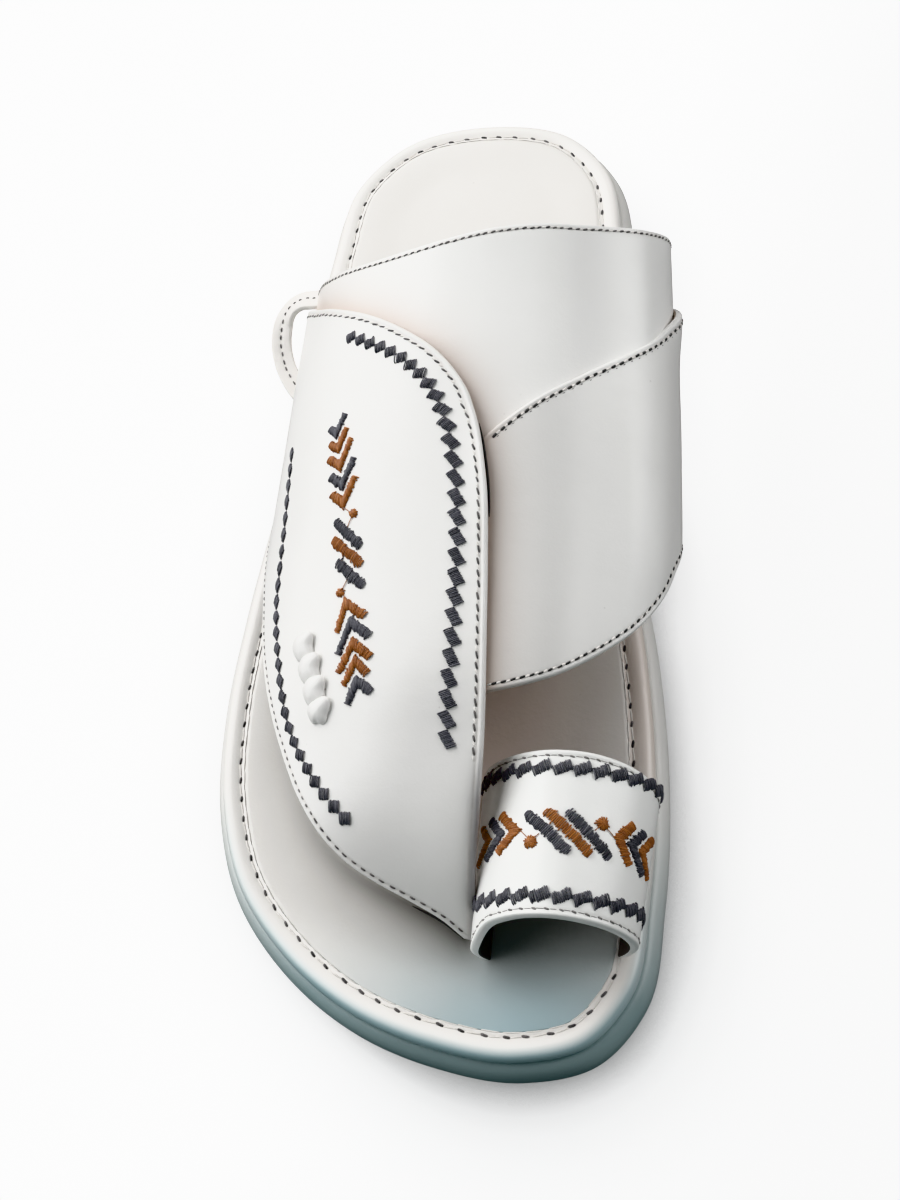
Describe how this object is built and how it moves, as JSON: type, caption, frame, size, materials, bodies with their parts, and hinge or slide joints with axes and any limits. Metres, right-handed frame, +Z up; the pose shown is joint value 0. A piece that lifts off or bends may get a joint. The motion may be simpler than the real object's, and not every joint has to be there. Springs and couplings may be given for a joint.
{
  "type": "arabic sandal",
  "caption": "Right-foot leather sandal: contoured sole, rimmed footbed, lapped instep strap and outer wing, big-toe ring, side pull loop and laced twist.",
  "frame": {"origin": "middle of the shoe's footprint box, on the floor under the sole", "axes": "+X towards the inner (big toe) side of this right shoe, +Y from toe to heel, +Z up"},
  "size_m": [0.1216, 0.2824, 0.0822],
  "materials": {
    "sole_rubber": "matte moulded, off-white with a grey-green cast",
    "rim_leather": "smooth, satin",
    "insole_leather": "smooth, satin, warm grey",
    "upper_leather": "smooth, polished off-white, with dark grey and orange-brown embroidery",
    "ring_leather": "smooth, polished off-white, embroidered",
    "loop_leather": "smooth, dull beige",
    "lace_leather": "smooth, off-white"
  },
  "bodies": {
    "root": {"outsole": "sole_rubber", "midsole": "rim_leather", "insole": "insole_leather", "upper": "upper_leather", "toe_ring": "ring_leather", "pull_loop": "loop_leather", "lace_twist": "lace_leather"}
  },
  "joints": []
}
